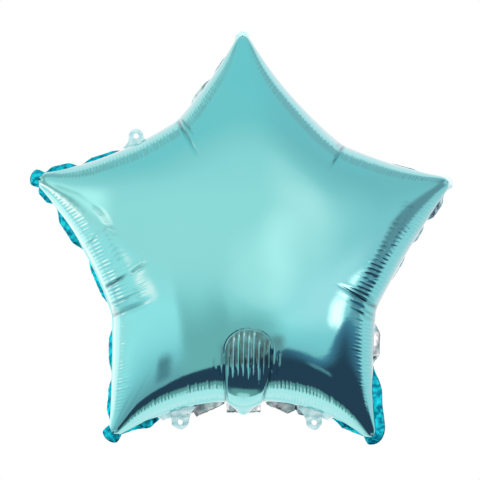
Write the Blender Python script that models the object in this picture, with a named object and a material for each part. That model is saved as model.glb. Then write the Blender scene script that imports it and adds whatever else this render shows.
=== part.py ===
"""A five-pointed star balloon of metallised film, blown up: two star sheets welded all round.

Run it with blender --background --python part.py, or from the text editor. Metres, +Z up.
The star stands in the XZ plane with its front towards -Y. The origin is the foot of the neck,
where a tie would go round it.
"""

import math

import bmesh
import bpy
import numpy as np
from mathutils import Matrix

# The star that the film fills. Tips and valleys are counted counter-clockwise from the top, seen
# from the front; the third valley is the neck. The reach of a tip is to the corner that its blunt
# end is rounded from. Each corner's pull is how far the wrinkled film draws it off the regular
# star: outwards in metres, and round in degrees.
TIPS = ("top", "left", "foot_left", "foot_right", "right")
CENTRE_HEIGHT = 0.1591
TIP_REACH = 0.2250
VALLEY_REACH = 0.1450
TIP_PULLS = ((0.0001, 0.3), (-0.0012, -2.5), (0.0012, -0.4), (0.0027, -0.4), (-0.0021, 1.8))
VALLEY_PULLS = ((0.0037, -9.2), (-0.0027, 5.6), None, (-0.0034, -4.0), (0.0019, -5.4))
TIP_TRIM = 0.0130
VALLEY_TRIM = 0.0050

# How far each tip's two edges bow into the star, the edge before the tip and the one after it.
EDGE_BOWS = ((0.0057, 0.0026), (0.0068, 0.0067), (0.0008, 0.0048), (0.0070, 0.0031), (0.0024, 0.0028))

# The neck, between the two lower legs, and the flat filling tail folded up behind it.
THROAT_WIDTH = 0.0408
THROAT_SHIFT = 0.0021
THROAT_HEIGHT = 0.0160
THROAT_TRIM = 0.0066
SPOUT_WIDTH = 0.0122
SPOUT_NOSE = 0.0030
TAIL_WIDTH = 0.0340
TAIL_THICKNESS = 0.0009
TAIL_ROOT_HEIGHT = 0.0110
TAIL_FOLD_HEIGHT = 0.0012
TAIL_FOLD_RADIUS = 0.0032
TAIL_RISE = 0.0440
TAIL_CLEARANCE = 0.0020
TAIL_STEP = 0.0040

# The filled film: its half thickness at the middle, and how much fuller the legs are than a
# soap film over the same outline.
HALF_DEPTH = 0.0770
LEG_FULLNESS = 0.18

# The gathers along the seam, and the folds that run in from the valleys and up from the throat.
GATHER_PITCH = 0.0160
GATHER_DEPTH = 0.0016
GATHER_LENGTH = 0.0300
GATHER_START = 0.0030
GATHER_CLEAR_OF_TIP = 0.0220
GATHER_BALANCE = 0.6
FOLD_DEPTH = 0.0060
FOLD_LENGTH = 0.0420
FOLD_HALF_WIDTH = 0.0100
THROAT_FOLD_LENGTH = 0.0660
THROAT_FOLD_LEAN = 4.0

# The welded seam outside the film.
SEAM_WIDTH = 0.0085
SEAM_WIDTH_AT_TIP = 0.0070
SEAM_WIDTH_AT_VALLEY = 0.0034
SEAM_THICKNESS = 0.0006
RUFFLE_HEIGHT = 0.0030
RUFFLE_PITCH = 0.0400

# The eyelet tabs: the tip and the side of it that each one is on, how far along that edge from
# the tip, which way it points, in degrees, and how far from the film's rim its hole is.
TABS = {
    "upper": ("left", "before", 0.705, 96.0, 0.0080),
    "lower_left": ("foot_left", "after", 0.625, 266.0, 0.0135),
    "lower_right": ("foot_right", "before", 0.585, 277.0, 0.0135),
}
TAB_WIDTH = 0.0145
TAB_ROOT_WIDTH = 0.0230
TAB_THICKNESS = 0.0010
TAB_DEPTH_IN_FILM = 0.0060
TAB_HOLE_TO_END = 0.0072
TAB_HOLE_RADIUS = 0.0026
TAB_END_SIDES = 10
TAB_HOLE_SIDES = 16
TAB_CALM = 0.0120

# How the surface is laid out: columns run from the rim to the ridges of the legs, rows round them.
COLUMNS_PER_GATHER = 4
COLUMNS_PER_TIP_ROUND = 6
COLUMNS_PER_HALF_ROUND = 2
ROWS = 9
FIRST_HALVED_ROW = 3
SECOND_HALVED_ROW = 5

# The soap film's fit to the outline.
FIT_SPACING = 0.0020
FIT_STAND_OFF = 0.0040
RIM_FADE_POWER = 4
SLOPE_STEP = 0.0001
WELD = 1e-7

FILM_COLOUR = (0.130, 0.520, 0.560, 1.0)
FILM_ROUGHNESS = 0.16


def remove_scene_objects():
    for old in list(bpy.data.objects):
        bpy.data.objects.remove(old)


def centre():
    return np.array([0.0, CENTRE_HEIGHT])


def direction(bearing):
    """The unit vector at a bearing in degrees, in the plane of the star."""
    return np.array([math.cos(math.radians(bearing)), math.sin(math.radians(bearing))])


def tip_point(tip):
    out, turn = TIP_PULLS[tip % 5]
    return centre() + (TIP_REACH + out) * direction(90 + 72 * tip + turn)


def valley_point(valley, side_of_neck):
    """A valley's corner, or the throat's corner on one side of the neck: -1 left, 1 right."""
    if VALLEY_PULLS[valley % 5] is None:
        return np.array([THROAT_SHIFT + side_of_neck * THROAT_WIDTH / 2, THROAT_HEIGHT])
    out, turn = VALLEY_PULLS[valley % 5]
    return centre() + (VALLEY_REACH + out) * direction(126 + 72 * valley + turn)


def towards(start, end, distance):
    return start + (end - start) * distance / np.linalg.norm(end - start)


def round_corner(before, corner, after, trim):
    """A corner's curve, from trim short of it to trim past it, as its three control points."""
    return towards(corner, before, trim), corner, towards(corner, after, trim)


def on_curve(curve, share):
    share = np.asarray(share, float)[:, None]
    return (1 - share) ** 2 * curve[0] + 2 * share * (1 - share) * curve[1] + share**2 * curve[2]


def bowed_edge(start, end, bow):
    """An edge's curve between two trimmed corners, bowed to the left of its own direction."""
    along = (end - start) / np.linalg.norm(end - start)
    return start, (start + end) / 2 + 2 * bow * np.array([-along[1], along[0]]), end


def gathers_on(tip):
    """How many gathers a plain edge of this tip has. An edge beside the neck has two fewer."""
    lengths = [
        np.linalg.norm(tip_point(tip) - valley_point(tip - 1, 1)),
        np.linalg.norm(tip_point(tip) - valley_point(tip, -1)),
    ]
    return max(4, round(sum(lengths) / 2 / GATHER_PITCH))


def leg_pieces(tip, mirrored):
    """One side of a leg, from its tip to the middle of its valley: (kind, curve, from, to)."""
    sign = -1 if mirrored else 1
    valley = tip - 1 if mirrored else tip
    apex = tip_point(tip)
    near = valley_point(valley, sign * -1)
    far_side = valley_point(tip if mirrored else tip - 1, sign)
    at_neck = VALLEY_PULLS[valley % 5] is None
    spout = np.array([sign * -1 * SPOUT_WIDTH / 2, SPOUT_NOSE])
    past = spout if at_neck else tip_point(tip - sign * -1)
    bow = EDGE_BOWS[tip % 5][0 if mirrored else 1] * sign
    tip_round = round_corner(far_side, apex, near, TIP_TRIM)
    valley_round = round_corner(apex, near, past, THROAT_TRIM if at_neck else VALLEY_TRIM)
    pieces = [("tip", tip_round, 0.5, 1.0), ("edge", bowed_edge(tip_round[2], valley_round[0], bow), 0.0, 1.0)]
    if not at_neck:
        return pieces + [("valley", valley_round, 0.0, 0.5)]
    flank = bowed_edge(valley_round[2], spout, 0.0)
    nose = (spout, np.array([0.0, -SPOUT_NOSE]), spout * (-1, 1))
    return pieces + [("throat", valley_round, 0.0, 1.0), ("flank", flank, 0.0, 1.0), ("spout", nose, 0.0, 0.5)]


def side_columns(tip, mirrored):
    """The rim along one side of a leg, tip to valley: points, gather phase and kinds."""
    pieces = leg_pieces(tip, mirrored)
    beside_neck = len(pieces) > 3
    other_beside_neck = len(leg_pieces(tip, not mirrored)) > 3
    gathers = gathers_on(tip) + (-1 if beside_neck else 1 if other_beside_neck else 0)
    columns = {
        "tip": COLUMNS_PER_TIP_ROUND,
        "edge": gathers * COLUMNS_PER_GATHER,
        "valley": COLUMNS_PER_HALF_ROUND,
        "throat": 2 * COLUMNS_PER_HALF_ROUND,
        "flank": 2 * COLUMNS_PER_HALF_ROUND,
        "spout": COLUMNS_PER_HALF_ROUND,
    }
    points, phase, kinds = [], [], []
    for kind, curve, first, last in pieces:
        count = columns[kind]
        points.append(on_curve(curve, first + (last - first) * np.arange(count) / count))
        phase.append(np.arange(count) / COLUMNS_PER_GATHER if kind == "edge" else np.zeros(count))
        kinds.extend([kind] * count)
    points.append(on_curve(pieces[-1][1], [pieces[-1][3]]))
    return np.concatenate(points), np.append(np.concatenate(phase), 0.0), kinds + [pieces[-1][0]]


def fine_outline():
    """The whole rim in small even steps, counter-clockwise."""
    points = []
    for tip in range(5):
        for mirrored in (True, False):
            pieces = leg_pieces(tip, mirrored)
            side = []
            for _, curve, first, last in pieces:
                length = np.linalg.norm(np.diff(on_curve(curve, [first, last]), axis=0))
                count = max(2, math.ceil(length / FIT_SPACING))
                side.append(on_curve(curve, first + (last - first) * np.arange(count) / count))
            side.append(on_curve(pieces[-1][1], [pieces[-1][3]]))
            side = np.concatenate(side)
            points.append(side[:0:-1] if mirrored else side[:-1])
    return np.concatenate(points)


def outward_normals(ring):
    """Unit directions square to a closed counter-clockwise ring, pointing out of it."""
    along = np.roll(ring, -1, 0) - np.roll(ring, 1, 0)
    along /= np.linalg.norm(along, axis=1)[:, None]
    return np.stack([along[:, 1], -along[:, 0]], 1)


def soap_film(ring):
    """The rise of a soap film blown over the outline: 0 at the rim and 1 over the centre."""
    sources = ring + FIT_STAND_OFF * outward_normals(ring)
    edge = np.concatenate([ring, (ring + np.roll(ring, -1, 0)) / 2])

    def terms(at):
        spread = np.linalg.norm(at[:, None] - sources[None], axis=2)
        return np.concatenate([np.log(spread), np.ones((len(at), 1))], 1)

    def bowl(at):
        return ((at - centre()) ** 2).sum(1) / 4

    weights = np.linalg.lstsq(terms(edge), bowl(edge), rcond=1e-11)[0]
    top = (terms(centre()[None]) @ weights)[0]
    return lambda at: (terms(at) @ weights - bowl(at)) / top


def film_depth(rise):
    """How far the film stands off the plane of the seam where the soap film has this rise."""
    rise = np.maximum(rise, 0.0)
    return HALF_DEPTH * np.sqrt(rise) * (1 + LEG_FULLNESS * (1 - rise))


def film_normals(film, at, rise):
    """The film's outward unit normals, as in-plane and off-plane parts, good at the rim too."""
    slope = []
    for step in (np.array([SLOPE_STEP, 0.0]), np.array([0.0, SLOPE_STEP])):
        slope.append((film(at + step) - film(at - step)) / (2 * SLOPE_STEP))
    rise = np.maximum(rise, 0.0)
    steepness = HALF_DEPTH * (0.5 * (1 + LEG_FULLNESS * (1 - rise)) - LEG_FULLNESS * rise)
    normals = np.stack([-steepness * slope[0], -steepness * slope[1], np.sqrt(rise)], 1)
    return normals / np.linalg.norm(normals, axis=1)[:, None]


def fold_lines():
    """Where each fold starts, its direction and its length."""
    folds = []
    for valley, pull in enumerate(VALLEY_PULLS):
        if pull is not None:
            start = valley_point(valley, 0)
            folds.append((start, towards(start, centre(), 1.0) - start, FOLD_LENGTH))
            continue
        for side in (-1, 1):
            way = direction(90 + side * THROAT_FOLD_LEAN)
            folds.append((valley_point(valley, side), way, THROAT_FOLD_LENGTH))
    return folds


def fold_dip(at):
    """How far the folds press the film in at these points."""
    dip = np.zeros(len(at))
    for start, way, length in fold_lines():
        run = (at - start) @ way / length
        across = np.abs((at - start) @ np.array([-way[1], way[0]]))
        section = np.clip(1 - across / FOLD_HALF_WIDTH, 0, 1)
        dip = np.maximum(dip, FOLD_DEPTH * section * np.clip(4 * run, 0, 1) * np.clip(1 - run, 0, 1))
    return dip


def gather_height(phase, run, share, from_tip):
    """How proud the gathers stand: round ridges and sharp valleys that die away from the seam."""
    section = np.abs(np.sin(math.pi * phase)) - GATHER_BALANCE
    grow = np.clip(run / GATHER_START, 0, 1)
    fade = np.clip(1 - run / GATHER_LENGTH, 0, 1) * (1 - share)
    clear = np.clip((from_tip - GATHER_CLEAR_OF_TIP) / GATHER_CLEAR_OF_TIP, 0, 1)
    return GATHER_DEPTH * section * grow * fade * clear


class FilmMesh:
    """Gathers points and faces, and gives points at the same place the same number."""

    def __init__(self):
        self.points = []
        self.numbers = {}
        self.faces = []

    def add_point(self, point):
        key = tuple(round(value / WELD) for value in point)
        if key not in self.numbers:
            self.numbers[key] = len(self.points)
            self.points.append(tuple(point))
        return self.numbers[key]

    def add_face(self, *corners):
        loop = [c for i, c in enumerate(corners) if c != corners[i - 1]]
        if len(loop) > 2:
            self.faces.append(loop)


def row_stride(row):
    """How many columns each step along this row spans: rows nearer the ridge have fewer."""
    return 1 if row < FIRST_HALVED_ROW else 2 if row < SECOND_HALVED_ROW else 4


def add_side(mesh, film, facing, rim, ridge, phase, from_tip):
    """One side of a leg's film on one face of the star: columns from the rim to the ridge."""
    last = len(rim) - 1
    rim_rise = film(rim)
    length = np.linalg.norm(ridge - rim, axis=1)
    grid = {}
    for row in range(ROWS + 1):
        share = 1 - math.cos(math.pi / 2 * row / ROWS)
        columns = np.arange(0, last + 1, row_stride(row))
        at = rim[columns] + share * (ridge[columns] - rim[columns])
        rise = film(at) - (1 - share) ** RIM_FADE_POWER * rim_rise[columns]
        proud = gather_height(phase[columns], share * length[columns], share, from_tip[columns])
        proud = (proud - fold_dip(at)) * (row > 0)
        normals = film_normals(film, at, rise)
        depth = SEAM_THICKNESS / 2 + film_depth(rise) * (row > 0)
        for column, place, height, normal, push in zip(columns, at, depth, normals, proud):
            if column == 0:
                place, height, push = rim[0], SEAM_THICKNESS / 2, 0.0
            x, z = place + push * normal[:2]
            grid[row, int(column)] = mesh.add_point((x, facing * (height + push * normal[2]), z))
    for row in range(ROWS):
        fine, coarse = row_stride(row), row_stride(row + 1)
        for column in range(0, last, coarse):
            near = [grid[row, k] for k in range(column, column + coarse + 1, fine)]
            mesh.add_face(*near, grid[row + 1, column + coarse], grid[row + 1, column])


def ring_of(sides, part):
    """One value for each column of the whole rim, counter-clockwise from the top tip."""
    ring = []
    for tip in range(5):
        ring.append(part(sides[tip, True])[:0:-1])
        ring.append(part(sides[tip, False])[:-1])
    ring = np.concatenate(ring)
    return np.roll(ring, -len(part(sides[0, True])) + 1, 0)


def arc_length(ring):
    return np.concatenate([[0.0], np.cumsum(np.linalg.norm(np.diff(ring, axis=0), axis=1))])


def seam_widths(sides):
    """How wide the seam is at each column."""

    def width(side):
        run = arc_length(side[0]) / arc_length(side[0])[-1]
        return np.interp(
            run, (0.0, 0.15, 0.75, 1.0), (SEAM_WIDTH_AT_TIP, SEAM_WIDTH, SEAM_WIDTH, SEAM_WIDTH_AT_VALLEY)
        )

    return ring_of(sides, width)


def add_seam(mesh, rim, widths, tab_points):
    """The flat welded band outside the film, ruffled at its free edge but flat beside the tabs."""
    run = np.append(arc_length(rim), 0.0)[: len(rim)]
    round_trip = run[-1] + np.linalg.norm(rim[-1] - rim[0])
    waves = round(round_trip / RUFFLE_PITCH)
    turn = 2 * math.pi * run / round_trip
    wave = (np.sin(waves * turn) + 0.6 * np.sin((2 * waves - 5) * turn + 1.1)) / 1.6
    for point in tab_points:
        gap = np.linalg.norm(rim - point, axis=1) - TAB_ROOT_WIDTH / 2
        wave *= np.clip(gap / TAB_CALM, 0, 1)
    edge = rim + widths[:, None] * outward_normals(rim)
    loops = []
    for ring, facing, lift in ((rim, -1, 0.0), (edge, -1, 1.0), (edge, 1, 1.0), (rim, 1, 0.0)):
        y = facing * SEAM_THICKNESS / 2 + lift * RUFFLE_HEIGHT * wave
        loops.append([mesh.add_point((point[0], height, point[1])) for point, height in zip(ring, y)])
    for inner, outer in zip(loops, loops[1:]):
        for k in range(len(rim)):
            mesh.add_face(inner[k - 1], inner[k], outer[k], outer[k - 1])


def film_object(film, sides, tab_points):
    """Both film faces and the seam as one closed mesh object."""
    mesh = FilmMesh()
    for tip in range(5):
        runs = [arc_length(sides[tip, mirrored][0]) for mirrored in (True, False)]
        share = (runs[0] / runs[0][-1] + runs[1] / runs[1][-1]) / 2
        for mirrored, run in zip((True, False), runs):
            rim, phase, _ = sides[tip, mirrored]
            ridge = rim[0] + share[:, None] * (centre() - rim[0])
            for facing in (-1, 1):
                add_side(mesh, film, facing, rim, ridge, phase, run)
    add_seam(mesh, ring_of(sides, lambda side: side[0]), seam_widths(sides), tab_points)
    data = bpy.data.meshes.new("star_balloon")
    data.from_pydata(mesh.points, [], mesh.faces)
    cleaner = bmesh.new()
    cleaner.from_mesh(data)
    bmesh.ops.recalc_face_normals(cleaner, faces=cleaner.faces)
    cleaner.to_mesh(data)
    cleaner.free()
    return bpy.data.objects.new("star_balloon", data)


def flat_piece(name, outlines, thickness, stance):
    """A plate from flat outlines, drawn in its own XY plane and stood in place by its stance."""
    curve = bpy.data.curves.new(name, "CURVE")
    curve.dimensions = "2D"
    curve.fill_mode = "BOTH"
    curve.extrude = thickness / 2
    for outline in outlines:
        spline = curve.splines.new("POLY")
        spline.points.add(len(outline) - 1)
        for point, place in zip(spline.points, outline):
            point.co = (place[0], place[1], 0.0, 1.0)
        spline.use_cyclic_u = True
    drawn = bpy.data.objects.new(name + "_outline", curve)
    bpy.context.scene.collection.objects.link(drawn)
    bpy.context.view_layer.update()
    evaluated = drawn.evaluated_get(bpy.context.evaluated_depsgraph_get())
    data = bpy.data.meshes.new_from_object(evaluated)
    bpy.data.objects.remove(drawn)
    cleaner = bmesh.new()
    cleaner.from_mesh(data)
    bmesh.ops.remove_doubles(cleaner, verts=cleaner.verts, dist=1e-6)
    bmesh.ops.recalc_face_normals(cleaner, faces=cleaner.faces)
    cleaner.to_mesh(data)
    cleaner.free()
    plate = bpy.data.objects.new(name, data)
    plate.matrix_world = stance
    return plate


def tab_place(tip, side, share):
    """The point of the rim that a tab stands on."""
    points = side_points(TIPS.index(tip), side == "before")
    run = arc_length(points)
    return np.array([np.interp(share * run[-1], run, points[:, axis]) for axis in (0, 1)])


def side_points(tip, mirrored):
    """The straight part of one side of a leg, from the tip's round end to the valley's."""
    edge = leg_pieces(tip, mirrored)[1][1]
    return on_curve(edge, np.linspace(0, 1, 41))


def tab_outlines(foot, bearing, hole_from_rim):
    """A tab's outline and the outline of its eyelet hole, in the plane of the star."""
    out = direction(bearing)
    across = np.array([-out[1], out[0]])
    hole = foot + hole_from_rim * out
    bend = hole + (TAB_HOLE_TO_END - TAB_WIDTH / 2) * out
    root = foot - TAB_DEPTH_IN_FILM * out
    edge = [root + TAB_ROOT_WIDTH / 2 * across, root - TAB_ROOT_WIDTH / 2 * across]
    shoulder = (foot + bend) / 2
    edge.append(shoulder - TAB_WIDTH / 2 * across)
    for k in range(TAB_END_SIDES + 1):
        angle = math.pi * k / TAB_END_SIDES
        edge.append(bend + TAB_WIDTH / 2 * (math.sin(angle) * out - math.cos(angle) * across))
    edge.append(shoulder + TAB_WIDTH / 2 * across)
    rim = []
    for k in range(TAB_HOLE_SIDES):
        rim.append(hole + TAB_HOLE_RADIUS * direction(360 * (k + 0.5) / TAB_HOLE_SIDES))
    return edge, rim


def tail_outline(film):
    """The folded tail seen from the side: down from the throat, round, and up behind the film."""
    radius = TAIL_FOLD_RADIUS
    bottom = TAIL_FOLD_HEIGHT + TAIL_THICKNESS / 2 + radius
    line = [(0.0, TAIL_ROOT_HEIGHT)]
    for k in range(9):
        angle = math.pi * k / 8
        line.append((radius - radius * math.cos(angle), bottom - radius * math.sin(angle)))
    for k in range(1, round(TAIL_RISE / TAIL_STEP) + 1):
        height = bottom + k * TAIL_STEP
        behind = film_depth(film(np.array([[0.0, height]])))[0] + TAIL_CLEARANCE + TAIL_THICKNESS / 2
        line.append((max(2 * radius, behind), height))
    line = np.array(line)
    along = np.gradient(line, axis=0)
    across = np.stack([-along[:, 1], along[:, 0]], 1) / np.linalg.norm(along, axis=1)[:, None]
    across *= TAIL_THICKNESS / 2
    return np.concatenate([line + across, (line - across)[::-1]])


def join(target, piece, collection):
    """Joins a piece to the target with a Boolean, and keeps the piece as a hidden guide."""
    collection.objects.link(piece)
    piece.hide_render = True
    piece.display_type = "WIRE"
    union = target.modifiers.new("join_" + piece.name, "BOOLEAN")
    union.operation = "UNION"
    union.solver = "EXACT"
    union.object = piece


def film_material():
    material = bpy.data.materials.new("metallised_film")
    material.use_nodes = True
    shader = material.node_tree.nodes["Principled BSDF"]
    shader.inputs["Base Color"].default_value = FILM_COLOUR
    shader.inputs["Metallic"].default_value = 1.0
    shader.inputs["Roughness"].default_value = FILM_ROUGHNESS
    return material


def build():
    remove_scene_objects()
    parts = bpy.data.collections.new("star_foil_balloon")
    cutters = bpy.data.collections.new("cutters")
    cutters.hide_render = True
    for collection in (parts, cutters):
        bpy.context.scene.collection.children.link(collection)
    film = soap_film(fine_outline())
    sides = {(tip, mirrored): side_columns(tip, mirrored) for tip in range(5) for mirrored in (True, False)}
    tab_points = {name: tab_place(*row[:3]) for name, row in TABS.items()}
    balloon = film_object(film, sides, tab_points.values())
    parts.objects.link(balloon)
    balloon.data.materials.append(film_material())
    balloon.data.shade_smooth()
    upright = Matrix.Rotation(math.pi / 2, 4, "X")
    for name, foot in tab_points.items():
        outlines = tab_outlines(foot, *TABS[name][3:])
        join(balloon, flat_piece(name + "_tab", outlines, TAB_THICKNESS, upright), cutters)
    sideways = Matrix(((0, 0, 1, 0), (1, 0, 0, 0), (0, 1, 0, 0), (0, 0, 0, 1)))
    join(balloon, flat_piece("tail", [tail_outline(film)], TAIL_WIDTH, sideways), cutters)


build()
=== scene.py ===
import math
from functools import partial

import bmesh
import bpy
import numpy as np
from mathutils import Matrix


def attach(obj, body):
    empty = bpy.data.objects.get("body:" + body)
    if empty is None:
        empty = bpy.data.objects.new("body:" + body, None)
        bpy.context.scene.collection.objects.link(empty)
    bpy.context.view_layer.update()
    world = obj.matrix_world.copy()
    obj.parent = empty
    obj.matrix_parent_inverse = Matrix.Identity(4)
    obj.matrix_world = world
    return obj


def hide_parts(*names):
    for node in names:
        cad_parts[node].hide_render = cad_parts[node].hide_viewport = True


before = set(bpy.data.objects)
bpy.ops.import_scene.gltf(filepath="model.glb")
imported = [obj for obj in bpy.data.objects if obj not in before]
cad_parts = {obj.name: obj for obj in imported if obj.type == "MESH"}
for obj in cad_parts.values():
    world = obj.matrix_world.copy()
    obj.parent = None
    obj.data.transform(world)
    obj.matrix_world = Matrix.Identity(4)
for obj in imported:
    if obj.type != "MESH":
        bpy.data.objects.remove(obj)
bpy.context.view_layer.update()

# the filled star, in metres. From in front, tips and valleys run counter-clockwise from the top
starShape = {
    "centreHeight": 0.1591,
    "tipReach": 0.2250,
    "valleyReach": 0.1450,
    # how the wrinkled film pulls each corner off a regular star: outwards, and round in degrees
    "tipPulls": ((0.0001, 0.3), (-0.0012, -2.5), (0.0012, -0.4), (0.0027, -0.4), (-0.0021, 1.8)),
    "valleyPulls": ((0.0037, -9.2), (-0.0027, 5.6), None, (-0.0034, -4.0), (0.0019, -5.4)),
    # how far the edge before each tip and the one after it bow into the star
    "edgeBows": (
        (0.0057, 0.0026),
        (0.0068, 0.0067),
        (0.0008, 0.0048),
        (0.0070, 0.0031),
        (0.0024, 0.0028),
    ),
    "tipTrim": 0.0130,
    "valleyTrim": 0.0050,
    "throatWidth": 0.0408,
    "throatShift": 0.0021,
    "throatHeight": 0.0160,
    "throatTrim": 0.0066,
    "spoutWidth": 0.0122,
    "spoutNose": 0.0030,
    "halfDepth": 0.0770,
    "legFullness": 0.18,  # the legs are this much rounder than a soap film would be
}

# how finely the film is laid out: columns run in from the seam, rows run round the star, and
# from these rows on every second and then every fourth column is left
filmGrid = {
    "columnsPerGather": 6,
    "tipColumns": 10,
    "valleyColumns": 2,
    "throatColumns": 8,
    "flankColumns": 10,
    "spoutColumns": 8,
    "rows": 44,
    "frontThinned": (26, 32),
    "backThinned": (1, 14),
    "outlineStep": 0.0020,
    "sourceStandOff": 0.0040,
    # over how far from the seam the creases grow, and the painted shade in them grows
    "calmRim": 0.004,
    "unshadedRim": 0.005,
}

# the gathers that the welded seam pulls into the film. Along each side they reach in from the seam
# by the first length at the tip and the second at the valley, and the third number makes them
# higher or lower than the rest. A negative one makes hollows with sharp ridges between them
gathers = {
    "pitch": 0.0041,
    "height": 0.00080,
    "sides": {
        (0, "before"): (0.019, 0.022, 0.70),
        (0, "after"): (0.019, 0.023, 0.80),
        (1, "before"): (0.021, 0.022, 0.80),
        (1, "after"): (0.024, 0.044, 0.75),
        (2, "before"): (0.026, 0.022, 0.60),
        (2, "after"): (0.027, 0.030, -1.20),
        (3, "before"): (0.029, 0.030, -1.20),
        (3, "after"): (0.022, 0.026, 0.60),
        (4, "before"): (0.024, 0.036, 0.80),
        (4, "after"): (0.019, 0.021, 0.75),
    },
    "backReach": 0.024,
    "reachSpread": 0.22,
    "heightSpread": (0.65, 1.2),
    "drift": 0.16,  # how far each one may wander along the seam, as a share of the pitch
    "sharpness": 0.7,
    "smoothRim": (0.0040, 0.0110),  # the rim itself stays smooth: they grow between these distances
    "clearOfTip": 0.014,
    "seed": 7,
}


# each leg's two sides: its tip, and whether it is the mirrored side, which comes before the tip
legSides = [(tip, mirrored) for tip in range(5) for mirrored in (True, False)]


def smoothStep(value, low, high):
    share = np.clip((value - low) / (high - low), 0, 1)
    return share * share * (3 - 2 * share)


def arcLength(points):
    return np.concatenate([[0.0], np.cumsum(np.linalg.norm(np.diff(points, axis=0), axis=1))])


def centrePoint():
    return np.array([0.0, starShape["centreHeight"]])


def direction(bearing):
    return np.array([math.cos(math.radians(bearing)), math.sin(math.radians(bearing))])


def tipPoint(tip):
    out, turn = starShape["tipPulls"][tip % 5]
    return centrePoint() + (starShape["tipReach"] + out) * direction(90 + 72 * tip + turn)


def valleyPoint(valley, side):
    # the valley at the foot is the neck, whose throat has a corner on each side
    if starShape["valleyPulls"][valley % 5] is None:
        across = starShape["throatShift"] + side * starShape["throatWidth"] / 2
        return np.array([across, starShape["throatHeight"]])
    out, turn = starShape["valleyPulls"][valley % 5]
    return centrePoint() + (starShape["valleyReach"] + out) * direction(126 + 72 * valley + turn)


def towardsPoint(start, end, distance):
    return start + (end - start) * distance / np.linalg.norm(end - start)


def roundCorner(before, corner, after, trim):
    return towardsPoint(corner, before, trim), corner, towardsPoint(corner, after, trim)


def onCurve(curve, share):
    share = np.asarray(share, float)[:, None]
    return (1 - share) ** 2 * curve[0] + 2 * share * (1 - share) * curve[1] + share**2 * curve[2]


def bowedEdge(start, end, bow):
    along = (end - start) / np.linalg.norm(end - start)
    return start, (start + end) / 2 + 2 * bow * np.array([-along[1], along[0]]), end


def legPieces(tip, mirrored):
    # one side of a leg from its tip to the middle of its valley: name, curve, first and last share
    sign = -1 if mirrored else 1
    valley = tip - 1 if mirrored else tip
    apex = tipPoint(tip)
    near = valleyPoint(valley, -sign)
    farSide = valleyPoint(tip if mirrored else tip - 1, sign)
    atNeck = starShape["valleyPulls"][valley % 5] is None
    spout = np.array([-sign * starShape["spoutWidth"] / 2, starShape["spoutNose"]])
    past = spout if atNeck else tipPoint(tip + sign)
    bow = starShape["edgeBows"][tip % 5][0 if mirrored else 1] * sign
    tipRound = roundCorner(farSide, apex, near, starShape["tipTrim"])
    valleyRound = roundCorner(apex, near, past, starShape["throatTrim" if atNeck else "valleyTrim"])
    edge = bowedEdge(tipRound[2], valleyRound[0], bow)
    pieces = [("tip", tipRound, 0.5, 1.0), ("edge", edge, 0.0, 1.0)]
    if not atNeck:
        return pieces + [("valley", valleyRound, 0.0, 0.5)]
    flank = bowedEdge(valleyRound[2], spout, 0.0)
    nose = (spout, np.array([0.0, -starShape["spoutNose"]]), spout * (-1, 1))
    pieces.append(("throat", valleyRound, 0.0, 1.0))
    return pieces + [("flank", flank, 0.0, 1.0), ("spout", nose, 0.0, 0.5)]


def gatherCount(tip, mirrored):
    lengths = [
        np.linalg.norm(tipPoint(tip) - valleyPoint(tip - 1, 1)),
        np.linalg.norm(tipPoint(tip) - valleyPoint(tip, -1)),
    ]
    count = 2 * round(sum(lengths) / 4 / gathers["pitch"])  # even, so that the columns halve twice
    neckColumns = filmGrid["throatColumns"] + filmGrid["flankColumns"] + filmGrid["spoutColumns"]
    spare = (neckColumns - filmGrid["valleyColumns"]) // filmGrid["columnsPerGather"]
    if len(legPieces(tip, mirrored)) > 3:
        return count - spare // 2
    if len(legPieces(tip, not mirrored)) > 3:
        return count + spare // 2
    return count


def sideColumns(tip, mirrored):
    # the rim along one side of a leg, and how many gathers along each column is
    random = np.random.RandomState(gathers["seed"] + 10 * tip + mirrored)
    points, phase = [], []
    pieces = legPieces(tip, mirrored)
    for name, curve, first, last in pieces:
        if name != "edge":
            count = filmGrid[name + "Columns"]
            points.append(onCurve(curve, first + (last - first) * np.arange(count) / count))
            phase.append(np.zeros(count))
            continue
        many = gatherCount(tip, mirrored)
        along = np.arange(many * filmGrid["columnsPerGather"]) / filmGrid["columnsPerGather"]
        stops = np.arange(0, many + 1)
        drift = random.uniform(-gathers["drift"], gathers["drift"], many - 1)
        drift = np.interp(along, stops, np.concatenate([[0], drift, [0]]))
        points.append(onCurve(curve, (along + drift) / many))
        phase.append(along)
    points.append(onCurve(pieces[-1][1], [pieces[-1][3]]))
    return np.concatenate(points), np.append(np.concatenate(phase), 0.0)


def ringOf(parts):
    # one array round the whole rim from an array for each side of each leg
    return np.concatenate([parts[key][:0:-1] if key[1] else parts[key][:-1] for key in legSides])


def fineOutline():
    sides = {}
    for key in legSides:
        pieces = legPieces(*key)
        side = []
        for _, curve, first, last in pieces:
            length = np.linalg.norm(np.diff(onCurve(curve, [first, last]), axis=0))
            count = max(2, math.ceil(length / filmGrid["outlineStep"]))
            side.append(onCurve(curve, first + (last - first) * np.arange(count) / count))
        side.append(onCurve(pieces[-1][1], [pieces[-1][3]]))
        sides[key] = np.concatenate(side)
    return ringOf(sides)


def outwardNormals(ring):
    along = np.roll(ring, -1, 0) - np.roll(ring, 1, 0)
    along /= np.linalg.norm(along, axis=1)[:, None]
    return np.stack([along[:, 1], -along[:, 0]], 1)


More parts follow.
